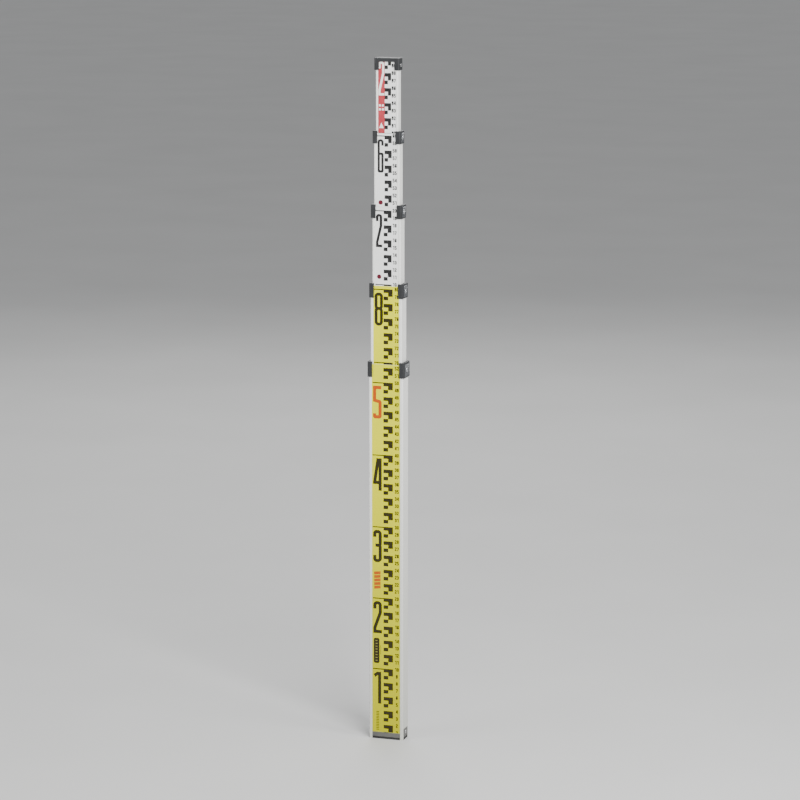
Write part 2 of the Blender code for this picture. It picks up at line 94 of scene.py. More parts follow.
# Large numerals, one for each decimetre, and the thin line above each
DECIMETRE = 100 * MM
DECIMETRES_IN_METRE = 10
RED_NUMERAL = 5
COUNT_TOLERANCE = 1e-6
RULE_THICKNESS = 1.4 * MM
RULE_MARGIN = 0.8 * MM
NUMERAL_DROP = 5.0 * MM
NUMERAL_HEIGHT = 45.0 * MM
NUMERAL_CENTRE = (-12.2 * MM, -10.4 * MM, -10.3 * MM, -8.5 * MM, -7.8 * MM)
NUMERAL_WIDTH = (12.3 * MM, 11.8 * MM, 9.0 * MM, 8.6 * MM, 8.2 * MM)
NUMERAL_STROKE = (4.5 * MM, 4.2 * MM, 3.7 * MM, 3.3 * MM, 3.0 * MM)
NUMERAL_STEPS = 6

# How a numeral's stroke turns: the roundness of its corners, the most of a line that a corner takes up,
# the sharpest mitre, and how near two points are when they count as one
NUMERAL_ROUNDING = 0.84
CORNER_REACH = 0.499
MITRE_LIMIT = 0.45
SAME_PLACE = 0.03 * MM
JOIN_TOLERANCE = 1e-4
NO_LENGTH = 1e-9

# Marks beside the numerals: a dot above the first metre, and a red panel under each whole metre
DOT_RADIUS = 3.1 * MM
DOT_RISE = 10.0 * MM
PANEL_MARGIN = 0.5 * MM
SQUARE_SIZE = 2.8 * MM
SQUARE_OFFSET = 2.1 * MM
SQUARE_PITCH = 5.2 * MM
SQUARES_LOW = -70.0 * MM
TRIANGLE_HALF = 3.3 * MM
TRIANGLE_HEIGHT = 7.3 * MM
TRIANGLE_RISE = 6.4 * MM

# Small numerals, one for each centimetre
CENTIMETRE = 10 * MM
CENTIMETRES_IN_METRE = 100
DIGIT_CENTRE = (15.5 * MM, 14.9 * MM, 11.6 * MM, 11.3 * MM, 9.5 * MM)
DIGIT_WIDTH = 2.6 * MM
DIGIT_HEIGHT = 5.0 * MM
DIGIT_STROKE = 1.05 * MM
DIGIT_SPACE = 0.45 * MM
DIGIT_STEPS = 2

# Plain marks on the lowest section, placed across from the middle line of the large numerals.
# A row of bars has, in mm: how many, the first one's foot, their pitch, left end, right end, thickness,
# and how much higher the right end is
SLANTED_BARS = (5, 212.3, 5.0, -4.8, 4.3, 4.1, 1.0)
LABEL_BARS = (8, 110.7, 4.0, -3.0, -0.1, 1.1, 0.0)
SIDE_DASHES = (8, 120.6, 1.6, 3.9, 4.9, 0.8, 0.0)
FOOT_DASHES = (12, 12.7, 2.3, -2.0, 2.0, 0.9, 0.0)
LABEL_LEFT = -5.6 * MM
LABEL_RIGHT = 2.7 * MM
LABEL_LOW = 107.5 * MM
LABEL_HIGH = 143.0 * MM
LABEL_ROUNDING = 2.4 * MM
LABEL_CORNER_STEPS = 5

# Lock levers: the raised ring round the button, and the thumb ribs at the upper end of the plate
LEVER_PLATE_FACE = 0.6 * MM
RING_INNER = 2.42 * MM
RING_OUTER = 3.3 * MM
RING_HEIGHT = 0.42 * MM
RING_BEVEL = 0.22
RIB_COUNT = 4
RIB_PITCH = 1.3 * MM
RIB_HALF = 0.35 * MM
RIB_HEIGHT = 0.32 * MM
RIB_CREST = 0.4
RIB_SIDE_MARGIN = 1.1 * MM
RIB_TOP_MARGIN = 1.5 * MM
TRIM_SUNK = 0.05 * MM

# The coil spring under each lever's thumb end
COIL_WIRE = 0.14 * MM
COIL_TURNS = 2.5
COIL_STEPS = 24
COIL_SIDES = 10

# Round shapes, and the angle from which an edge stays crisp
ROUND_STEPS = 32
DOME_STEPS = 6
SHARP_ANGLE = math.radians(38)

# Fasteners: pan-head screws with a cross recess, and domed rivets
SCREW_SHANK = 1.2 * MM
SCREW_HEAD = 0.75 * MM
SCREW_RIM = 0.25
CROSS_WIDTH = 0.48 * MM
CROSS_LENGTH = 2.7 * MM
CUTTER_HEIGHT = 1.5 * MM
CUTTER_LIFT = 0.2 * MM
RIVET_SHANK = 1.2 * MM
RIVET_HEAD = 0.66 * MM
RIVET_RIM = 0.15

# Painted shade on the lower part of the lowest section, for light falling off near the floor: how high it
# reaches, and how strong it is at the foot
PAINTED_SHADE_HEIGHT = 0.48
PAINTED_SHADE_SHARE = 0.85

# Worn edges: the cosine between the softened and the plain normal where wear is full and where it ends,
# and how far from an edge the normal is softened
EDGE_SHARP = 0.86
EDGE_FLAT = 0.985
ENAMEL_EDGE = 0.5 * MM
MOULDED_EDGE = 0.6 * MM

# The set: floor, surrounding light, and each lamp's name, place, aim, size and power
FLOOR_RADIUS = 60.0
FLOOR_SIDES = 96
WORLD_COLOUR = (0.84, 0.85, 0.87)
WORLD_STRENGTH = 0.52
LAMPS = (
    ("key", (1.6, -1.95, 2.0), (0, 0, 0.85), (1.3, 1.3), 135.0),
    ("upper_side", (1.35, -0.35, 1.45), (0, 0, 0.85), (0.6, 0.6), 12.0),
    ("fill", (-2.4, -2.2, 1.2), (0, 0, 0.4), (1.8, 1.8), 40.0),
    ("back", (-0.8, 2.6, 2.2), (0, 0, 0.5), (1.8, 1.4), 40.0),
)


# ---------------------------------------------------------------- places from the frame


def section_size(number):
    """Half the width and half the depth of a section's tube."""
    low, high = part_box(f"tube_{number}")
    return high.x, -low.y


def full_draw(number):
    """How far a section rises from here until the whole staff is drawn out."""
    slides = [joint for joint in frame["joints"] if joint["type"] == "slide"]
    upper = {joint["name"]: joint["range_m"][1] for joint in slides}
    return sum(upper[f"draw_{step}"] for step in range(2, number + 1))


def head_node(number):
    return f"collar_{number}" if number in COLLARED else "top_cap"


def section_top(number):
    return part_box(head_node(number))[1].z


def print_range(number):
    """Lowest and highest printed height on a section, as it stands here."""
    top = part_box(f"tube_{number}")[1].z - PRINT_TOP_GAP
    if number == 1:
        return PRINT_START, top
    drawn = section_top(number - 1) + full_draw(number - 1) - full_draw(number)
    return drawn - PRINT_HIDDEN, top


def film_half_width(number):
    return section_size(number)[0] - RECESS_SHOULDER[number - 1] - FILM_MARGIN


def film_front(number):
    """The printed film's outer face, which looks along -Y."""
    return -(section_size(number)[1] - RECESS_DEPTH) - FILM_THICKNESS


# ---------------------------------------------------------------- mesh helpers


def make_object(name, build):
    """An object in the scene whose mesh is filled in by build(mesh)."""
    mesh = bmesh.new()
    build(mesh)
    data = bpy.data.meshes.new(name)
    mesh.to_mesh(data)
    mesh.free()
    made = bpy.data.objects.new(name, data)
    bpy.context.scene.collection.objects.link(made)
    return made


def shade_round(piece):
    """Smooth shading, with edges sharper than a set angle kept crisp."""
    piece.data.shade_smooth()
    piece.data.set_sharp_from_angle(angle=SHARP_ANGLE)


def make_piece(name, build, finish, body, smooth=False):
    """A piece of the staff with its finish, riding on a CAD body."""
    piece = make_object(name, build)
    piece.data.materials.append(finish)
    if smooth:
        shade_round(piece)
    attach(piece, body)
    return piece


def add_plate(mesh, points, faces, back, front):
    """A closed plate facing -Y from flat (x, z) points and the faces that fill its outline."""
    near = [mesh.verts.new((x, front, z)) for x, z in points]
    far = [mesh.verts.new((x, back, z)) for x, z in points]
    sides = {}
    for face in faces:
        mesh.faces.new([near[index] for index in face])
        mesh.faces.new([far[index] for index in reversed(face)])
        for first, second in zip(face, face[1:] + face[:1]):
            sides[(first, second)] = None
    for first, second in sides:
        if (second, first) not in sides:
            mesh.faces.new((near[second], near[first], far[first], far[second]))


def add_polygon(mesh, points, back, front):
    """A plate from one outline, anticlockwise as seen from the front."""
    add_plate(mesh, points, [list(range(len(points)))], back, front)


def rectangle(left, right, low, high):
    return [(left, low), (right, low), (right, high), (left, high)]


def rounded_rectangle(left, right, low, high, radius, steps):
    corners = ((right - radius, low + radius, 270), (right - radius, high - radius, 0),
               (left + radius, high - radius, 90), (left + radius, low + radius, 180))
    points = []
    for centre_x, centre_z, start in corners:
        for step in range(steps + 1):
            angle = math.radians(start + 90 * step / steps)
            points.append((centre_x + radius * math.cos(angle), centre_z + radius * math.sin(angle)))
    return points


def full_turn(steps):
    """Equal angles round a circle."""
    return [2 * math.pi * step / steps for step in range(steps)]


def circle(centre_x, centre_z, radius):
    """Points round a circle, anticlockwise."""
    turns = full_turn(ROUND_STEPS)
    return [(centre_x + radius * math.cos(turn), centre_z + radius * math.sin(turn)) for turn in turns]


def join_rings(mesh, first, second):
    """Quads between two closed rings of the same number of points."""
    for step in range(len(first)):
        after = (step + 1) % len(first)
        mesh.faces.new((first[step], first[after], second[after], second[step]))


def face_outward(mesh):
    bmesh.ops.recalc_face_normals(mesh, faces=mesh.faces[:])


# ---------------------------------------------------------------- numerals

# A stroke is a line or a closed loop of corners in a unit box, each with how round it is
ROUND = 1.0
SOFT = 0.5
SHARP = 0.0
STROKES = {
    "0": [("loop", ((0, 1, ROUND), (1, 1, ROUND), (1, 0, ROUND), (0, 0, ROUND)))],
    "1": [("line", ((0.14, 0.95, SHARP), (0.5, 1, SHARP), (0.86, 1, SHARP))),
          ("line", ((0.86, 1, SHARP), (0.86, 0, SHARP)))],
    "2": [("line", ((0, 0.85, SHARP), (0, 1, ROUND), (1, 1, ROUND), (1, 0.66, SOFT), (0, 0.13, SOFT),
                    (0, 0, SHARP), (1, 0, SHARP)))],
    "3": [("line", ((0, 0.87, SHARP), (0, 1, ROUND), (1, 1, ROUND), (1, 0.53, ROUND),
                    (0.42, 0.53, SHARP))),
          ("line", ((0.42, 0.53, SHARP), (1, 0.53, ROUND), (1, 0, ROUND), (0, 0, ROUND),
                    (0, 0.13, SHARP)))],
    "4": [("line", ((1, 0, SHARP), (1, 1, SHARP))),
          ("line", ((0.60, 1, SHARP), (0, 0.245, SHARP))),
          ("line", ((0, 0.225, SHARP), (1, 0.225, SHARP)))],
    "5": [("line", ((0.92, 1, SHARP), (0, 1, SHARP), (0, 0.56, SHARP), (1, 0.52, SOFT), (1, 0, SOFT),
                    (0, 0, SOFT), (0, 0.06, SHARP)))],
    "6": [("line", ((1, 0.87, SHARP), (1, 1, ROUND), (0, 1, ROUND), (0, 0.30, SHARP))),
          ("loop", ((0, 0.57, SOFT), (1, 0.57, SOFT), (1, 0, SOFT), (0, 0, SOFT)))],
    "7": [("line", ((0, 1, SHARP), (1, 1, SHARP), (1, 0.86, SOFT), (0.34, 0, SHARP)))],
    "8": [("loop", ((0, 1, ROUND), (1, 1, ROUND), (1, 0.52, ROUND), (0, 0.52, ROUND))),
          ("loop", ((0, 0.52, ROUND), (1, 0.52, ROUND), (1, 0, ROUND), (0, 0, ROUND)))],
    "9": [("line", ((0, 0.13, SHARP), (0, 0, ROUND), (1, 0, ROUND), (1, 0.70, SHARP))),
          ("loop", ((0, 1, SOFT), (1, 1, SOFT), (1, 0.43, SOFT), (0, 0.43, SOFT)))],
}


def round_corner(before, corner, after, radius, steps):
    """The arc that rounds one corner of a path, as a list of points."""
    back = before - corner
    ahead = after - corner
    if radius <= 0 or back.length < NO_LENGTH or ahead.length < NO_LENGTH:
        return [corner]
    half_angle = back.angle(ahead) / 2
    setback = min(radius / math.tan(half_angle), CORNER_REACH * back.length, CORNER_REACH * ahead.length)
    arc_radius = setback * math.tan(half_angle)
    middle = back.normalized() + ahead.normalized()
    centre = corner + middle.normalized() * (arc_radius / math.sin(half_angle))
    start = corner + back.normalized() * setback - centre
    sweep = (corner + ahead.normalized() * setback - centre).angle_signed(start)
    points = []
    for step in range(steps + 1):
        turn = sweep * step / steps
        cosine = math.cos(turn)
        sine = math.sin(turn)
        turned = (start.x * cosine - start.y * sine, start.x * sine + start.y * cosine)
        points.append(centre + Vector(turned))
    return points


def stroke_path(kind, corners, width, height, stroke, steps):
    """The middle line of one stroke at its real size, with its open ends drawn on square."""
    inset = stroke / 2
    places = [Vector((inset + x * (width - stroke), inset + z * (height - stroke))) for x, z, _ in corners]
    count = len(places)
    path = []
    for index, (place, corner) in enumerate(zip(places, corners)):
        if kind == "line" and index in (0, count - 1):
            neighbour = places[1] if index == 0 else places[-2]
            path.append(place + inset * (place - neighbour).normalized())
            continue
        radius = NUMERAL_ROUNDING * corner[2] * (width - stroke) / 2
        path += round_corner(places[index - 1], place, places[(index + 1) % count], radius, steps)
    apart = [path[0]]
    for before, place in zip(path, path[1:]):
        if (place - before).length > SAME_PLACE:
            apart.append(place)
    if kind == "loop" and (apart[0] - apart[-1]).length < SAME_PLACE:
        apart.pop()
    return apart


def stroke_quads(kind, corners, width, height, stroke, steps):
    """Quads, each four points anticlockwise, that follow one stroke of a numeral."""
    path = stroke_path(kind, corners, width, height, stroke, steps)
    closed = kind == "loop"
    total = len(path)
    edges = []
    for index, place in enumerate(path):
        before = path[index - 1] if closed or index > 0 else None
        after = path[(index + 1) % total] if closed or index < total - 1 else None
        directions = [(b - a).normalized() for a, b in ((before, place), (place, after)) if a and b]
        along = sum(directions, Vector((0, 0))).normalized()
        normal = Vector((-along.y, along.x))
        first = Vector((-directions[0].y, directions[0].x))
        reach = stroke / 2 / max(normal.dot(first), MITRE_LIMIT)
        edges.append((place + normal * reach, place - normal * reach))
    pairs = zip(edges, edges[1:] + edges[:1]) if closed else zip(edges, edges[1:])
    return [(a[1], b[1], b[0], a[0]) for a, b in pairs]


def numeral_shape(digit, width, height, stroke, steps):
    """Points and faces of one numeral: its strokes joined into one flat shape."""
    points = []
    quads = []
    for kind, corners in STROKES[digit]:
        for quad in stroke_quads(kind, corners, width, height, stroke, steps):
            quads.append([len(points) + offset for offset in range(4)])
            points += [point / MM for point in quad]
    joined, _, faces, _, _, sources = delaunay_2d_cdt(points, [], quads, 1, JOIN_TOLERANCE)
    kept = [list(face) for face, source in zip(faces, sources) if source]
    used = sorted({index for face in kept for index in face})
    place = {index: order for order, index in enumerate(used)}
    outline_points = [tuple(joined[index] * MM) for index in used]
    return outline_points, [[place[index] for index in face] for face in kept]


# ---------------------------------------------------------------- finishes


def add_node(tree, kind, inputs, **settings):
    """A node whose inputs, by name or number, are linked to sockets or set to plain values."""
    node = tree.nodes.new(kind)
    for key, value in settings.items():
        setattr(node, key, value)
    for key, value in inputs.items():
        if isinstance(value, bpy.types.NodeSocket):
            tree.links.new(value, node.inputs[key])
        else:
            node.inputs[key].default_value = value
    return node


def colour(red, green, blue):
    return (red, green, blue, 1.0)


def start_material(name, metallic=0.0, specular=0.5):
    material = bpy.data.materials.new(name)
    material.use_nodes = True
    tree = material.node_tree
    shader = tree.nodes["Principled BSDF"]
    shader.inputs["Metallic"].default_value = metallic
    shader.inputs["Specular IOR Level"].default_value = specular
    place = add_node(tree, "ShaderNodeTexCoord", {}).outputs["Object"]
    return material, tree, shader, place


def stretched(tree, place, scale):
    return add_node(tree, "ShaderNodeMapping", {"Vector": place, "Scale": scale}).outputs["Vector"]


def noise(tree, place, scale, detail, roughness=0.5):
    settings = {"Vector": place, "Scale": scale, "Detail": detail, "Roughness": roughness}
    return add_node(tree, "ShaderNodeTexNoise", settings).outputs["Fac"]


def spread(tree, value, low, high, to_low, to_high):
    """A value mapped from one range onto another, kept inside it."""
    settings = {"Value": value, "From Min": low, "From Max": high, "To Min": to_low, "To Max": to_high}
    return add_node(tree, "ShaderNodeMapRange", settings).outputs["Result"]


def ramp(tree, value, stops):
    """A colour that goes from one stop to the other; a stop is a position and a colour."""
    node = add_node(tree, "ShaderNodeValToRGB", {"Fac": value})
    for element, (position, stop_colour) in zip(node.color_ramp.elements, stops):
        element.position = position
        element.color = stop_colour
    return node.outputs["Color"]


def mix_colour(tree, share, first, second):
    """The colour mixer's sockets go by number: 0 is the share, 6 and 7 the colours, and 2 comes out."""
    return add_node(tree, "ShaderNodeMix", {0: share, 6: first, 7: second}, data_type="RGBA").outputs[2]


def multiply(tree, first, second):
    return add_node(tree, "ShaderNodeMath", {0: first, 1: second}, operation="MULTIPLY").outputs["Value"]


def darker_to_foot(tree, place, base, foot):
    """The lowest half metre is painted darker down to its foot: painted shade, for the light that falls off
    towards the floor.
    """
    height = add_node(tree, "ShaderNodeSeparateXYZ", {"Vector": place}).outputs["Z"]
    return mix_colour(tree, spread(tree, height, 0.0, PAINTED_SHADE_HEIGHT, PAINTED_SHADE_SHARE, 0.0), base, foot)


def edge_mask(tree, radius):
    """1 along sharp edges and 0 on flat faces."""
    softened = add_node(tree, "ShaderNodeBevel", {"Radius": radius}, samples=4).outputs["Normal"]
    plain = add_node(tree, "ShaderNodeNewGeometry", {}).outputs["Normal"]
    dot = add_node(tree, "ShaderNodeVectorMath", {0: softened, 1: plain}, operation="DOT_PRODUCT")
    return spread(tree, dot.outputs["Value"], EDGE_SHARP, EDGE_FLAT, 1.0, 0.0)


def set_roughness(tree, shader, pattern, low, high, contrast=(0.3, 0.7)):
    """Roughness that goes from low to high as the pattern crosses the middle of its range."""
    tree.links.new(spread(tree, pattern, *contrast, low, high), shader.inputs["Roughness"])


def set_bump(tree, shader, height, strength, distance):
    bump = add_node(tree, "ShaderNodeBump", {"Height": height, "Strength": strength, "Distance": distance})
    tree.links.new(bump.outputs["Normal"], shader.inputs["Normal"])


# Each ink's material name, and its darkest and lightest tone
INKS = {
    "black_on_yellow": ("black_on_yellow_ink", (0.018, 0.015, 0.002), (0.032, 0.027, 0.005)),
    "black_on_white": ("black_on_white_ink", (0.012, 0.012, 0.012), (0.026, 0.026, 0.026)),
    "small_on_yellow": ("small_olive_ink", (0.020, 0.017, 0.001), (0.035, 0.030, 0.003)),
    "small_on_white": ("small_black_ink", (0.004, 0.004, 0.004), (0.012, 0.012, 0.012)),
    "red_on_yellow": ("red_on_yellow_ink", (0.40, 0.060, 0.002), (0.48, 0.085, 0.004)),
    "red_on_white": ("red_on_white_ink", (0.44, 0.035, 0.035), (0.52, 0.05, 0.05)),
    "panel_ink": ("panel_red_ink", (0.36, 0.035, 0.045), (0.44, 0.055, 0.065)),
    "dot_ink": ("dot_red_ink", (0.085, 0.008, 0.018), (0.12, 0.012, 0.022)),
    "orange_ink": ("orange_ink", (0.38, 0.075, 0.003), (0.46, 0.10, 0.006)),
    "olive_ink": ("olive_ink", (0.20, 0.19, 0.03), (0.28, 0.26, 0.05)),
    "white_ink": ("white_ink", (0.78, 0.77, 0.74), (0.84, 0.83, 0.80)),
}


def make_enamel():
    """White baked enamel over extruded aluminium: faint die lines, scuffs, and bare metal on worn edges."""
    material, tree, shader, place = start_material("white_enamel", specular=0.45)
    shader.inputs["Coat Weight"].default_value = 0.12
    shader.inputs["Coat Roughness"].default_value = 0.25
    broad = noise(tree, place, 9.0, 4.0)
    base = ramp(tree, broad, ((0.30, colour(0.74, 0.745, 0.71)), (0.70, colour(0.81, 0.81, 0.785))))
    # Painted shade: the enamel is darkened towards the foot, where the light falls off near the floor
    base = darker_to_foot(tree, place, base, colour(0.46, 0.465, 0.41))
    dirt_place = stretched(tree, place, (160.0, 160.0, 9.0))
    streaks = spread(tree, noise(tree, dirt_place, 1.0, 5.0, 0.6), 0.56, 0.80, 0.0, 0.22)
    soiled = mix_colour(tree, streaks, base, colour(0.50, 0.50, 0.46))
    chips = spread(tree, noise(tree, place, 420.0, 4.0, 0.7), 0.50, 0.62, 0.0, 1.0)
    worn = multiply(tree, edge_mask(tree, ENAMEL_EDGE), chips)
    finished = mix_colour(tree, worn, soiled, colour(0.46, 0.46, 0.45))
    tree.links.new(finished, shader.inputs["Base Color"])
    set_roughness(tree, shader, noise(tree, place, 60.0, 4.0), 0.34, 0.50)
    tree.links.new(multiply(tree, worn, 0.85), shader.inputs["Metallic"])
    die_lines = noise(tree, stretched(tree, place, (2600.0, 2600.0, 12.0)), 1.0, 2.0)
    set_bump(tree, shader, die_lines, 0.18, 0.05 * MM)
    return material


def make_film(name, dark, light, soil, foot):
    """Lacquered print ground: screened ink with a slight orange peel, faint rubbed patches, and painted
    shade towards the foot.
    """
    material, tree, shader, place = start_material(name, specular=0.12)
    base = ramp(tree, noise(tree, place, 14.0, 5.0), ((0.32, dark), (0.68, light)))
    # Painted shade: the print is darkened towards the foot, where the light falls off near the floor
    base = darker_to_foot(tree, place, base, foot)
    rubbed_place = stretched(tree, place, (90.0, 90.0, 14.0))
    rubbed = spread(tree, noise(tree, rubbed_place, 1.0, 6.0, 0.65), 0.58, 0.82, 0.0, 0.20)
    tree.links.new(mix_colour(tree, rubbed, base, soil), shader.inputs["Base Color"])
    set_roughness(tree, shader, noise(tree, place, 120.0, 4.0), 0.36, 0.52)
    set_bump(tree, shader, noise(tree, place, 1700.0, 2.0), 0.10, 0.03 * MM)
    return material


def make_ink(name, dark, light):
    """Screen-printed ink, a little uneven in depth of colour and in gloss."""
    material, tree, shader, place = start_material(name, specular=0.2)
    depth = noise(tree, place, 260.0, 5.0, 0.6)
    base = ramp(tree, depth, ((0.30, colour(*dark)), (0.72, colour(*light))))
    tree.links.new(base, shader.inputs["Base Color"])
    set_roughness(tree, shader, noise(tree, place, 150.0, 3.0), 0.34, 0.52)
    set_bump(tree, shader, noise(tree, place, 1900.0, 2.0), 0.12, 0.02 * MM)
    return material


def make_moulded(name, dark, light, edge, roughness, grain):
    """Injection-moulded plastic or rubber: fine spark-eroded grain, and edges rubbed paler."""
    material, tree, shader, place = start_material(name, specular=0.32)
    base = ramp(tree, noise(tree, place, 38.0, 5.0), ((0.30, dark), (0.70, light)))
    patches = spread(tree, noise(tree, place, 300.0, 4.0), 0.35, 0.6, 0.2, 1.0)
    rubbed = multiply(tree, edge_mask(tree, MOULDED_EDGE), patches)
    tree.links.new(mix_colour(tree, rubbed, base, edge), shader.inputs["Base Color"])
    set_roughness(tree, shader, noise(tree, place, 210.0, 4.0), roughness - 0.07, roughness + 0.09)
    set_bump(tree, shader, noise(tree, place, grain, 3.0, 0.6), 0.35, 0.06 * MM)
    return material


def make_steel(name, dark, light, roughness, brushed):
    """Plated or brushed steel; brushed is how much the finish is stretched along X, Y and Z."""
    material, tree, shader, place = start_material(name, metallic=1.0)
    shader.inputs["Anisotropic"].default_value = 0.35
    fine = noise(tree, stretched(tree, place, brushed), 1.0, 4.0, 0.6)
    base = ramp(tree, fine, ((0.25, dark), (0.75, light)))
    smudges = spread(tree, noise(tree, place, 130.0, 4.0), 0.45, 0.75, 0.0, 0.35)
    tree.links.new(mix_colour(tree, smudges, base, dark), shader.inputs["Base Color"])
    set_roughness(tree, shader, fine, roughness - 0.07, roughness + 0.10, contrast=(0.25, 0.75))
    set_bump(tree, shader, fine, 0.25, 0.02 * MM)
    return material


# ---------------------------------------------------------------- print


def add_blocks(mesh, number, back, front):
    """The block pattern, hung from every 20 mm line and clipped to the printed height."""
    low, high = print_range(number)
    lead = full_draw(number)
    left = BLOCK_LEFT[number - 1]
    middle = left + BLOCK_COLUMN[number - 1]
    right = middle + BLOCK_COLUMN[number - 1]
    line = math.floor((low + lead) / BLOCK_PERIOD)
    while line * BLOCK_PERIOD - lead - 3 * BLOCK_STEP < high:
        top = line * BLOCK_PERIOD - lead
        steps = [min(max(top - step * BLOCK_STEP, low), high) for step in range(4)]
        if steps[0] > steps[1] and steps[1] > steps[2]:
            hook = [(left, steps[1]), (middle, steps[1]), (middle, steps[2]), (right, steps[2]),
                    (right, steps[0]), (left, steps[0])]
            add_polygon(mesh, hook, back, front)
        elif steps[0] > steps[1]:
            add_polygon(mesh, rectangle(left, right, steps[1], steps[0]), back, front)
        elif steps[1] > steps[2]:
            add_polygon(mesh, rectangle(middle, right, steps[2], steps[1]), back, front)
        if steps[2] > steps[3]:
            add_polygon(mesh, rectangle(left, middle, steps[3], steps[2]), back, front)
        line += 1


def decimetres(number):
    """The decimetre lines, as whole numbers, whose decimetre shows at all on this section."""
    low, high = print_range(number)
    lead = full_draw(number)
    first = math.ceil((low + lead) / DECIMETRE - COUNT_TOLERANCE)
    last = math.ceil((high + lead) / DECIMETRE - COUNT_TOLERANCE)
    return [line for line in range(first, last + 1) if line > 0]


def clip_plate(points, faces, low, high):
    """The part of a flat shape between two heights."""
    flat = bmesh.new()
    verts = [flat.verts.new((x, 0, z)) for x, z in points]
    for face in faces:
        flat.faces.new([verts[index] for index in face])
    for height, outward in ((low, -1), (high, 1)):
        everything = flat.verts[:] + flat.edges[:] + flat.faces[:]
        bmesh.ops.bisect_plane(flat, geom=everything, plane_co=(0, 0, height), plane_no=(0, 0, outward),
                               clear_outer=True)
    flat.verts.index_update()
    clipped = [(vert.co.x, vert.co.z) for vert in flat.verts]
    kept = [[vert.index for vert in face.verts] for face in flat.faces]
    flat.free()
    return clipped, kept


def add_clipped(mesh, shape, left, bottom, limits, back, front):
    """A flat shape placed on the face, with whatever runs past the print's ends cut off."""
    points = [(left + x, bottom + z) for x, z in shape[0]]
    faces = shape[1]
    heights = [z for _, z in points]
    if min(heights) >= limits[1] or max(heights) <= limits[0]:
        return
    if min(heights) < limits[0] or max(heights) > limits[1]:
        points, faces = clip_plate(points, faces, *limits)
    add_plate(mesh, points, faces, back, front)


def as_shape(points):
    return points, [list(range(len(points)))]


def is_metre(line):
    return line % DECIMETRES_IN_METRE == 0


def is_red(line):
    """The middle numeral of each metre is red."""
    return line % DECIMETRES_IN_METRE == RED_NUMERAL


def has_dot(line):
    """Every numeral above the first metre has a dot, apart from the whole metres."""
    return line > DECIMETRES_IN_METRE and not is_metre(line)


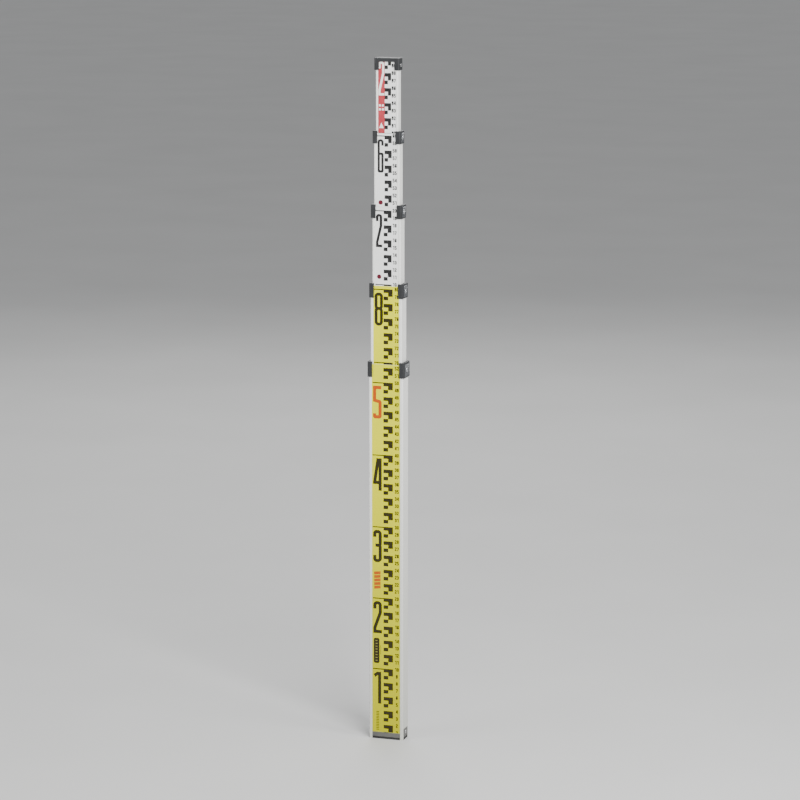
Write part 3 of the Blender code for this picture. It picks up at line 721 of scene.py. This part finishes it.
class Printer:
    """Where one section's print goes, and the flat shapes that it repeats."""

    def __init__(self, number):
        self.number = number
        self.body = f"section_{number}"
        self.slot = "printed_yellow" if number in YELLOW_SECTIONS else "printed_white"
        self.half = film_half_width(number)
        self.limits = print_range(number)
        self.lead = full_draw(number)
        self.lines = decimetres(number)
        self.film = film_front(number)
        self.ink = self.film - INK_PROUD
        self.over = self.ink - INK_STEP
        self.middle = NUMERAL_CENTRE[number - 1]
        self.left = self.middle - NUMERAL_WIDTH[number - 1] / 2
        self.block_left = BLOCK_LEFT[number - 1]
        big = (NUMERAL_WIDTH[number - 1], NUMERAL_HEIGHT, NUMERAL_STROKE[number - 1], NUMERAL_STEPS)
        small = (DIGIT_WIDTH, DIGIT_HEIGHT, DIGIT_STROKE, DIGIT_STEPS)
        self.big = {digit: numeral_shape(digit, *big) for digit in STROKES}
        self.small = {digit: numeral_shape(digit, *small) for digit in STROKES}

    def height(self, line):
        """Where a decimetre line lies on the section as it stands here."""
        return line * DECIMETRE - self.lead

    def place(self, mesh, shape, left, bottom):
        add_clipped(mesh, shape, left, bottom, self.limits, self.film + INK_SUNK, self.ink)

    def place_over(self, mesh, shape, left, bottom):
        add_clipped(mesh, shape, left, bottom, self.limits, self.ink, self.over)

    def numeral_bottom(self, line):
        return self.height(line) - NUMERAL_DROP - NUMERAL_HEIGHT

    def add_ground(self, mesh):
        low = PRINT_START if self.number == 1 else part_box(f"tube_{self.number}")[0].z + PRINT_TOP_GAP
        outline = rectangle(-self.half, self.half, low, self.limits[1])
        add_polygon(mesh, outline, self.film + FILM_THICKNESS - 2 * INK_SUNK, self.film)

    def add_black(self, mesh):
        add_blocks(mesh, self.number, self.film + INK_SUNK, self.ink)
        rule = as_shape(rectangle(RULE_MARGIN - self.half, self.block_left, -RULE_THICKNESS, 0.0))
        for line in self.lines:
            self.place(mesh, rule, 0.0, self.height(line))
            if not is_metre(line) and not is_red(line):
                digit = str(line % DECIMETRES_IN_METRE)
                self.place(mesh, self.big[digit], self.left, self.numeral_bottom(line))

    def add_red_numerals(self, mesh):
        for line in filter(is_red, self.lines):
            self.place(mesh, self.big[str(RED_NUMERAL)], self.left, self.numeral_bottom(line))

    def add_panels(self, mesh):
        panel = as_shape(rectangle(PANEL_MARGIN - self.half, self.block_left, -DECIMETRE, -RULE_THICKNESS))
        for line in filter(is_metre, self.lines):
            self.place(mesh, panel, 0.0, self.height(line))

    def add_dots(self, mesh):
        dot = as_shape(circle(self.middle, DOT_RISE - DECIMETRE, DOT_RADIUS))
        for line in filter(has_dot, self.lines):
            self.place(mesh, dot, 0.0, self.height(line))

    def add_white(self, mesh):
        """On each metre's panel: its numeral, four small squares and a triangle."""
        for line in filter(is_metre, self.lines):
            digit = str(line // DECIMETRES_IN_METRE)
            self.place_over(mesh, self.big[digit], self.left, self.numeral_bottom(line))
            for across in (-1, 1):
                for up in (0, 1):
                    left = self.middle + across * SQUARE_OFFSET - SQUARE_SIZE / 2
                    low = SQUARES_LOW + up * SQUARE_PITCH
                    square = as_shape(rectangle(left, left + SQUARE_SIZE, low, low + SQUARE_SIZE))
                    self.place_over(mesh, square, 0.0, self.height(line))
            foot = -DECIMETRE + TRIANGLE_RISE
            corners = [(-TRIANGLE_HALF, foot), (TRIANGLE_HALF, foot), (0.0, foot + TRIANGLE_HEIGHT)]
            self.place_over(mesh, as_shape(corners), self.middle, self.height(line))

    def add_small(self, mesh):
        line = math.ceil((self.limits[0] + self.lead) / CENTIMETRE)
        while line * CENTIMETRE - self.lead < self.limits[1]:
            reading = line % CENTIMETRES_IN_METRE
            label = str(reading)
            width = len(label) * (DIGIT_WIDTH + DIGIT_SPACE) - DIGIT_SPACE
            bottom = line * CENTIMETRE - self.lead - DIGIT_HEIGHT / 2
            left = DIGIT_CENTRE[self.number - 1] - width / 2
            for digit in label if reading else "":
                self.place(mesh, self.small[digit], left, bottom)
                left += DIGIT_WIDTH + DIGIT_SPACE
            line += 1

    def make(self, name, build, finish):
        return make_piece(f"print_{name}_{self.number}", build, finish, self.body)


def print_section(number, finishes):
    """All of one section's print: the ground, and the inks on it."""
    printer = Printer(number)
    tone = "yellow" if number in YELLOW_SECTIONS else "white"
    printer.make("ground", printer.add_ground, finishes[f"{tone}_film"])
    printer.make("black", printer.add_black, finishes[f"black_on_{tone}"])
    printer.make("small_numerals", printer.add_small, finishes[f"small_on_{tone}"])
    if any(map(is_red, printer.lines)):
        printer.make("red_numerals", printer.add_red_numerals, finishes[f"red_on_{tone}"])
    if any(map(has_dot, printer.lines)):
        printer.make("dots", printer.add_dots, finishes["dot_ink"])
    if any(map(is_metre, printer.lines)):
        printer.make("metre_panels", printer.add_panels, finishes["panel_ink"])
        printer.make("metre_marks", printer.add_white, finishes["white_ink"])


# ---------------------------------------------------------------- fasteners


def turned_head(profile, outward, base):
    """Builds a round solid from (radius, height) pairs, its heights going outward from a base."""
    turn = Vector((0, 0, 1)).rotation_difference(Vector(outward)).to_matrix().to_4x4()

    def build(mesh):
        rings = []
        for radius, height in profile:
            if radius < NO_LENGTH:
                rings.append([mesh.verts.new((0, 0, height))])
                continue
            rings.append([mesh.verts.new((x, y, height)) for x, y in circle(0.0, 0.0, radius)])
        for lower, upper in zip(rings, rings[1:]):
            if len(lower) == len(upper):
                join_rings(mesh, lower, upper)
                continue
            for step in range(ROUND_STEPS):
                after = (step + 1) % ROUND_STEPS
                if len(lower) == 1:
                    mesh.faces.new((lower[0], upper[after], upper[step]))
                else:
                    mesh.faces.new((lower[step], lower[after], upper[0]))
        bmesh.ops.transform(mesh, matrix=turn, verts=mesh.verts[:])
        face_outward(mesh)
        bmesh.ops.translate(mesh, verts=mesh.verts[:], vec=base)

    return build


def dome_profile(head_radius, head_height, shank_radius, shank_length, rim):
    """Shank, then a head with a short straight rim and a domed top; height 0 is under the head."""
    profile = [(0.0, -shank_length), (shank_radius, -shank_length), (shank_radius, 0.0), (head_radius, 0.0)]
    rim_height = rim * head_height
    for step in range(DOME_STEPS):
        angle = math.pi / 2 * step / DOME_STEPS
        height = rim_height + (head_height - rim_height) * math.sin(angle)
        profile.append((head_radius * math.cos(angle), height))
    profile.append((0.0, head_height))
    return profile


def cut_shape(target, build):
    """Cuts a helper shape out of a piece and keeps only the result."""
    helper = make_object("cutter", build)
    step = target.modifiers.new("cut", "BOOLEAN")
    step.operation = "DIFFERENCE"
    step.solver = "EXACT"
    step.use_self = True
    step.object = helper
    bpy.context.view_layer.update()
    evaluated = target.evaluated_get(bpy.context.evaluated_depsgraph_get())
    result = bpy.data.meshes.new_from_object(evaluated)
    target.modifiers.clear()
    target.data = result
    bpy.data.objects.remove(helper)


def make_screw(node, body, outward, finish):
    """A pan-head screw with a cross recess, in place of the CAD's plain one."""
    low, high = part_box(node)
    centre = (low + high) / 2
    outer = high.x if outward > 0 else low.x
    shank_length = high.x - low.x - SCREW_HEAD
    profile = dome_profile((high.z - low.z) / 2, SCREW_HEAD, SCREW_SHANK, shank_length, SCREW_RIM)
    base = Vector((outer - outward * SCREW_HEAD, centre.y, centre.z))

    def cross(mesh):
        tip = Matrix.Translation((outer + outward * CUTTER_LIFT, centre.y, centre.z))
        for size in ((CROSS_LENGTH, CROSS_WIDTH), (CROSS_WIDTH, CROSS_LENGTH)):
            scale = Matrix.Diagonal((CUTTER_HEIGHT, *size, 1))
            bmesh.ops.create_cube(mesh, size=1.0, matrix=tip @ scale)

    head = turned_head(profile, (outward, 0, 0), base)
    screw = make_piece(f"{node}_detailed", head, finish, body)
    cut_shape(screw, cross)
    shade_round(screw)
    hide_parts(node)


def make_rivet(node, body, finish):
    """A domed rivet in the back of a collar, in place of the CAD's plain one."""
    low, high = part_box(node)
    centre = (low + high) / 2
    shank_length = high.y - low.y - RIVET_HEAD
    profile = dome_profile((high.x - low.x) / 2, RIVET_HEAD, RIVET_SHANK, shank_length, RIVET_RIM)
    head = turned_head(profile, (0, 1, 0), Vector((centre.x, high.y - RIVET_HEAD, centre.z)))
    rivet = make_piece(f"{node}_domed", head, finish, body, smooth=True)
    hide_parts(node)


# ---------------------------------------------------------------- levers


def make_lever_trim(number, finish):
    """A polished ring round the lever's button, and ribs where the thumb presses."""
    low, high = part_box(f"lock_lever_{number}")
    face = high.x - LEVER_PLATE_FACE
    centre_z = (low.z + high.z) / 2
    bottom = face - TRIM_SUNK

    def ring(mesh):
        crown = face + RING_HEIGHT
        inset = RING_BEVEL * (RING_OUTER - RING_INNER)
        profile = [(RING_INNER, bottom), (RING_OUTER, bottom), (RING_OUTER, crown - inset),
                   (RING_OUTER - inset, crown), (RING_INNER + inset, crown), (RING_INNER, crown - inset)]
        rings = []
        for radius, x in profile:
            rings.append([mesh.verts.new((x, y, z)) for y, z in circle(0.0, centre_z, radius)])
        for first, second in zip(rings, rings[1:] + rings[:1]):
            join_rings(mesh, first, second)
        face_outward(mesh)

    def ribs(mesh):
        half_y = high.y - RIB_SIDE_MARGIN
        crest = face + RIB_HEIGHT
        crest_half = RIB_CREST * RIB_HALF
        for step in range(RIB_COUNT):
            z = high.z - RIB_TOP_MARGIN - step * RIB_PITCH
            section = [(bottom, z - RIB_HALF), (face, z - RIB_HALF), (crest, z - crest_half),
                       (crest, z + crest_half), (face, z + RIB_HALF), (bottom, z + RIB_HALF)]
            near = [mesh.verts.new((x, -half_y, height)) for x, height in section]
            far = [mesh.verts.new((x, half_y, height)) for x, height in section]
            mesh.faces.new(near)
            mesh.faces.new(far)
            join_rings(mesh, near, far)
        face_outward(mesh)

    make_piece(f"lever_ring_{number}", ring, finish, f"lock_{number}", smooth=True)
    make_piece(f"lever_ribs_{number}", ribs, finish, f"lock_{number}")


def make_coil(number, finish):
    """A round-wire spring in place of the CAD's plain one."""
    node = f"lever_spring_{number}"
    low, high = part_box(node)
    centre_z = (low.z + high.z) / 2
    radius = (high.y - low.y) / 2 - COIL_WIRE
    start = low.x + COIL_WIRE
    reach = high.x - low.x - 2 * COIL_WIRE
    along = Vector((1, 0, 0))

    def build(mesh):
        count = int(COIL_TURNS * COIL_STEPS)
        rings = []
        for step in range(count + 1):
            angle = 2 * math.pi * step / COIL_STEPS
            outward = Vector((0, math.cos(angle), math.sin(angle)))
            centre = Vector((start + reach * step / count, 0, centre_z)) + radius * outward
            round_wire = [math.cos(t) * outward + math.sin(t) * along for t in full_turn(COIL_SIDES)]
            rings.append([mesh.verts.new(centre + COIL_WIRE * offset) for offset in round_wire])
        for first, second in zip(rings, rings[1:]):
            join_rings(mesh, first, second)
        mesh.faces.new(rings[0])
        mesh.faces.new(rings[-1])
        face_outward(mesh)

    body = f"section_{number}"
    coil = make_piece(f"lever_coil_{number}", build, finish, body, smooth=True)
    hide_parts(node)
    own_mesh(coil)


# ---------------------------------------------------------------- generic marks


def row_of_bars(row, back, front):
    """Builds a row of plain bars, one above the other."""
    count, start, pitch, left, right, thickness, rise = row
    left_x = NUMERAL_CENTRE[0] + left * MM
    right_x = NUMERAL_CENTRE[0] + right * MM

    def build(mesh):
        for step in range(count):
            low = (start + step * pitch) * MM
            right_low = low + rise * MM
            outline = [(left_x, low), (right_x, right_low), (right_x, right_low + thickness * MM),
                       (left_x, low + thickness * MM)]
            add_polygon(mesh, outline, back, front)

    return build


def make_marks(finishes):
    """Plain shapes on the lowest section, where the real one carries printed marks of its maker."""
    back = film_front(1) + INK_SUNK
    ink = film_front(1) - INK_PROUD

    def label(mesh):
        left = NUMERAL_CENTRE[0] + LABEL_LEFT
        right = NUMERAL_CENTRE[0] + LABEL_RIGHT
        outline = rounded_rectangle(left, right, LABEL_LOW, LABEL_HIGH, LABEL_ROUNDING, LABEL_CORNER_STEPS)
        add_polygon(mesh, outline, back, ink)

    marks = (
        ("plain_bars_orange", row_of_bars(SLANTED_BARS, back, ink), "orange_ink"),
        ("plain_label", label, "black_on_yellow"),
        ("plain_label_bars", row_of_bars(LABEL_BARS, ink, ink - INK_STEP), "olive_ink"),
        ("plain_side_dashes", row_of_bars(SIDE_DASHES, back, ink), "small_on_yellow"),
        ("plain_dashes", row_of_bars(FOOT_DASHES, back, ink), "small_on_yellow"),
    )
    for name, build, finish in marks:
        make_piece(name, build, finishes[finish], "section_1")


# ---------------------------------------------------------------- the set


def make_floor():
    def build(mesh):
        bmesh.ops.create_circle(mesh, cap_ends=True, segments=FLOOR_SIDES, radius=FLOOR_RADIUS)

    floor = make_object("floor", build)
    material, tree, shader, place = start_material("pale_floor", specular=0.3)
    stops = ((0.3, colour(0.60, 0.60, 0.59)), (0.7, colour(0.63, 0.63, 0.62)))
    tree.links.new(ramp(tree, noise(tree, place, 3.0, 4.0), stops), shader.inputs["Base Color"])
    shader.inputs["Roughness"].default_value = 0.7
    floor.data.materials.append(material)


def make_lamp(name, place, aim, size, power):
    data = bpy.data.lights.new(name, "AREA")
    data.shape = "RECTANGLE"
    data.size, data.size_y = size
    data.energy = power
    light = bpy.data.objects.new(name, data)
    light.location = place
    light.rotation_euler = (Vector(aim) - Vector(place)).to_track_quat("-Z", "Y").to_euler()
    bpy.context.scene.collection.objects.link(light)


def make_studio():
    world = bpy.data.worlds.new("studio")
    world.use_nodes = True
    background = world.node_tree.nodes["Background"]
    background.inputs["Color"].default_value = colour(*WORLD_COLOUR)
    background.inputs["Strength"].default_value = WORLD_STRENGTH
    bpy.context.scene.world = world
    for lamp in LAMPS:
        make_lamp(*lamp)


def make_camera():
    data = bpy.data.cameras.new("camera")
    data.sensor_width = SENSOR
    data.lens = CAMERA_LENS
    camera = bpy.data.objects.new("camera", data)
    sine = math.sin(CAMERA_AZIMUTH)
    cosine = math.cos(CAMERA_AZIMUTH)
    camera.location = (
        CAMERA_DISTANCE * sine + CAMERA_SIDESTEP * cosine,
        -CAMERA_DISTANCE * cosine + CAMERA_SIDESTEP * sine,
        CAMERA_HEIGHT,
    )
    camera.rotation_euler = (math.pi / 2 - CAMERA_PITCH, 0, CAMERA_AZIMUTH)
    bpy.context.scene.collection.objects.link(camera)
    bpy.context.scene.camera = camera


# ---------------------------------------------------------------- assembly


def make_finishes():
    """Each finish by the name that the pieces ask for it by."""
    steel = (colour(0.52, 0.52, 0.53), colour(0.78, 0.78, 0.78))
    lever_steel = (colour(0.19, 0.20, 0.215), colour(0.30, 0.31, 0.33))
    polished = (colour(0.80, 0.82, 0.82), colour(0.90, 0.91, 0.91))
    spring = (colour(0.30, 0.30, 0.30), colour(0.48, 0.47, 0.45))
    # A film's tones: darkest, lightest, rubbed soil, and the painted shade colour at its foot
    yellow = (colour(0.64, 0.635, 0.0), colour(0.72, 0.71, 0.0), colour(0.50, 0.49, 0.01),
              colour(0.37, 0.355, 0.0))
    white = (colour(0.78, 0.78, 0.76), colour(0.84, 0.84, 0.825), colour(0.6, 0.6, 0.57),
             colour(0.6, 0.6, 0.57))
    plastic = (colour(0.016, 0.017, 0.018), colour(0.028, 0.029, 0.031), colour(0.11, 0.11, 0.11))
    grey_plastic = (colour(0.085, 0.084, 0.078), colour(0.115, 0.113, 0.105), colour(0.20, 0.20, 0.19))
    rubber = (colour(0.012, 0.012, 0.012), colour(0.024, 0.024, 0.023), colour(0.07, 0.07, 0.07))
    finishes = {
        "enamel": make_enamel(),
        "yellow_film": make_film("yellow_print", *yellow),
        "white_film": make_film("white_print", *white),
    }
    for name, ink in INKS.items():
        finishes[name] = make_ink(*ink)
    finishes["plastic"] = make_moulded("dark_plastic", *plastic, 0.46, 1500.0)
    finishes["grey_plastic"] = make_moulded("grey_plastic", *grey_plastic, 0.46, 1500.0)
    finishes["rubber"] = make_moulded("black_rubber", *rubber, 0.72, 900.0)
    finishes["steel"] = make_steel("brushed_steel", *lever_steel, 0.34, (2400.0, 2400.0, 90.0))
    finishes["polished"] = make_steel("polished_steel", *polished, 0.20, (900.0, 900.0, 900.0))
    finishes["zinc"] = make_steel("zinc_plate", *steel, 0.26, (700.0, 700.0, 700.0))
    finishes["spring_steel"] = make_steel("spring_steel", *spring, 0.34, (900.0, 900.0, 900.0))
    return finishes


def finish_of(node, finishes):
    if node.startswith("tube"):
        return finishes["enamel"]
    if node.startswith("base_sole"):
        return finishes["rubber"]
    if node == "base_plug":
        return finishes["grey_plastic"]
    if node.startswith("lock_lever"):
        return finishes["steel"]
    if node.startswith(("lever_pin", "lever_spring")):
        return finishes["spring_steel"]
    if "screw" in node or "rivet" in node:
        return finishes["zinc"]
    return finishes["plastic"]


def main():
    make_camera()
    finishes = make_finishes()
    for node, item in frame["nodes"].items():
        for slot in item.material_slots:
            slot.material = finish_of(node, finishes)
    for number in SECTIONS:
        print_section(number, finishes)
    make_marks(finishes)
    for side, outward in (("left", -1), ("right", 1)):
        make_screw(f"base_screw_{side}", "section_1", outward, finishes["zinc"])
        make_screw(f"cap_screw_{side}", "section_5", outward, finishes["zinc"])
        for number in COLLARED:
            make_rivet(f"collar_rivet_{number}_{side}", f"section_{number}", finishes["zinc"])
    for number in COLLARED:
        make_lever_trim(number, finishes["polished"])
        make_coil(number, finishes["spring_steel"])
    make_floor()
    make_studio()


main()
